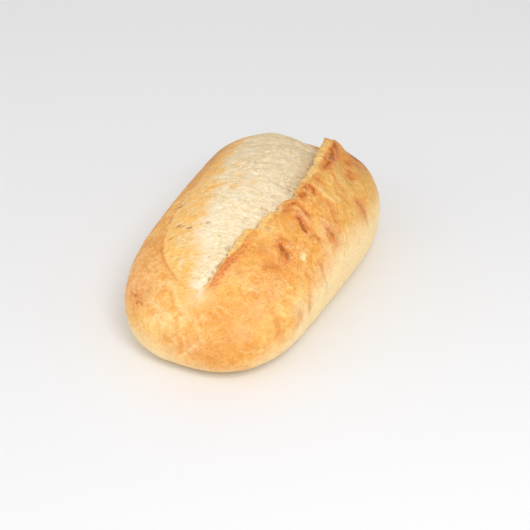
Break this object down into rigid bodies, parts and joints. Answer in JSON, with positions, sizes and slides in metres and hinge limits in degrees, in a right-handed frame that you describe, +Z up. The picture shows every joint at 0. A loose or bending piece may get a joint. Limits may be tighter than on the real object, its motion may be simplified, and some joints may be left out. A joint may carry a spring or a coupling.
{
  "type": "tuscan bread loaf",
  "caption": "Oblong hearth loaf with a domed golden crust, one long lengthwise slash with a raised ragged ear beside a pale bloom, and a flat sole.",
  "frame": {"origin": "middle of the loaf's flat sole, on the surface it rests on", "axes": "+Z up, +Y along the loaf from its plain near end to its tall far end, +X across the loaf to the side of the raised ear"},
  "size_m": [0.1438, 0.2412, 0.0834],
  "materials": {
    "crust": null
  },
  "bodies": {
    "root": {"loaf": "crust"}
  },
  "joints": []
}
